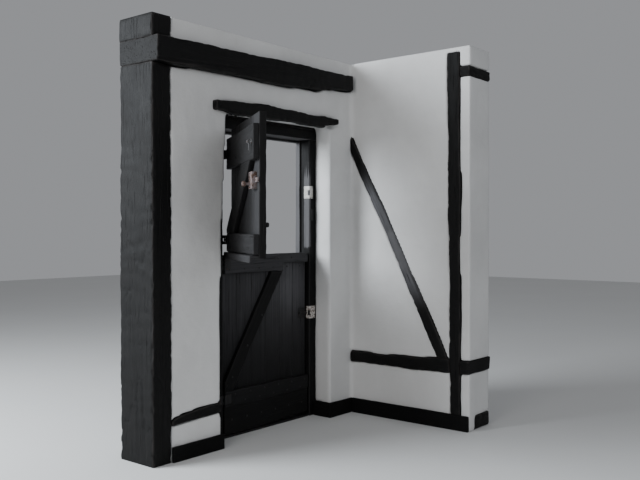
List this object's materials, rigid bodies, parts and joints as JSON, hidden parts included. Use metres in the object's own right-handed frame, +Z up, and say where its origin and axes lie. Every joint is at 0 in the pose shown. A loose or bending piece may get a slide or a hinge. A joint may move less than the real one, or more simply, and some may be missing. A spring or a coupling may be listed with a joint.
{
  "type": "half timbered wall corner with a stable door",
  "caption": "Corner of a half timbered cottage: hewn black oak timbers, white lime plaster and a split stable door hung on hinges.",
  "frame": {"origin": "middle of the corner post's foot, on the floor", "axes": "+Z up; the door wall runs from the origin towards -X with its room face towards -Y; the return wall runs towards -Y with its room face towards -X"},
  "size_m": [1.837, 1.092, 2.2],
  "materials": {
    "lime_plaster": "uneven limewashed plaster",
    "tarred_oak": "hewn oak, blackened",
    "tarred_boards": "boards painted black, worn",
    "black_iron": "painted black, some rust",
    "cream_painted_iron": "old cream paint, chipped"
  },
  "bodies": {
    "wall": {"corner_post": "tarred_oak", "end_post": "tarred_oak", "wall_beam": "tarred_oak", "lintel": "tarred_oak", "low_rail": "tarred_oak", "door_stud": "tarred_oak", "head_rail": "tarred_oak", "sill_beams": "tarred_oak", "left_panel": "lime_plaster", "left_base_panel": "lime_plaster", "pier_panel": "lime_plaster", "head_panel": "lime_plaster", "top_panel": "lime_plaster", "door_wall_skirting": "tarred_oak", "return_skirting": "tarred_oak", "return_post": "tarred_oak", "return_brace": "tarred_oak", "return_rail": "tarred_oak", "return_top_rail": "tarred_oak", "return_brace_panel": "lime_plaster", "return_main_panel": "lime_plaster", "return_base_panel": "lime_plaster", "return_end_panel": "lime_plaster", "hinge_post": "tarred_boards", "lock_post": "tarred_boards", "frame_head": "tarred_boards", "threshold": "tarred_boards", "hinge_plates": "black_iron", "latch_keep": "cream_painted_iron", "bolt_keep": "cream_painted_iron", "hook_keep": "black_iron"},
    "upper_leaf": {"upper_boards": "tarred_boards", "upper_top_ledge": "tarred_boards", "upper_bottom_ledge": "tarred_boards", "upper_brace": "tarred_boards", "upper_batten": "tarred_boards", "upper_latch": "cream_painted_iron", "upper_hook": "black_iron", "upper_pull": "black_iron", "upper_hinges": "black_iron"},
    "lower_leaf": {"lower_boards": "tarred_boards", "lower_top_ledge": "tarred_boards", "lower_bottom_ledge": "tarred_boards", "lower_brace": "tarred_boards", "lower_bolt": "black_iron", "lower_hinges": "black_iron", "kick_board": "tarred_boards"}
  },
  "joints": [
    {"name": "upper_leaf_hinge", "type": "hinge", "parent": "wall", "child": "upper_leaf", "pos_m": [-1.1165, -0.0075, 1.32], "axis": [0, 0, -1], "range_deg": [-124, 0]},
    {"name": "lower_leaf_hinge", "type": "hinge", "parent": "wall", "child": "lower_leaf", "pos_m": [-1.1165, -0.0075, 0.59], "axis": [0, 0, -1], "range_deg": [0, 124]}
  ]
}
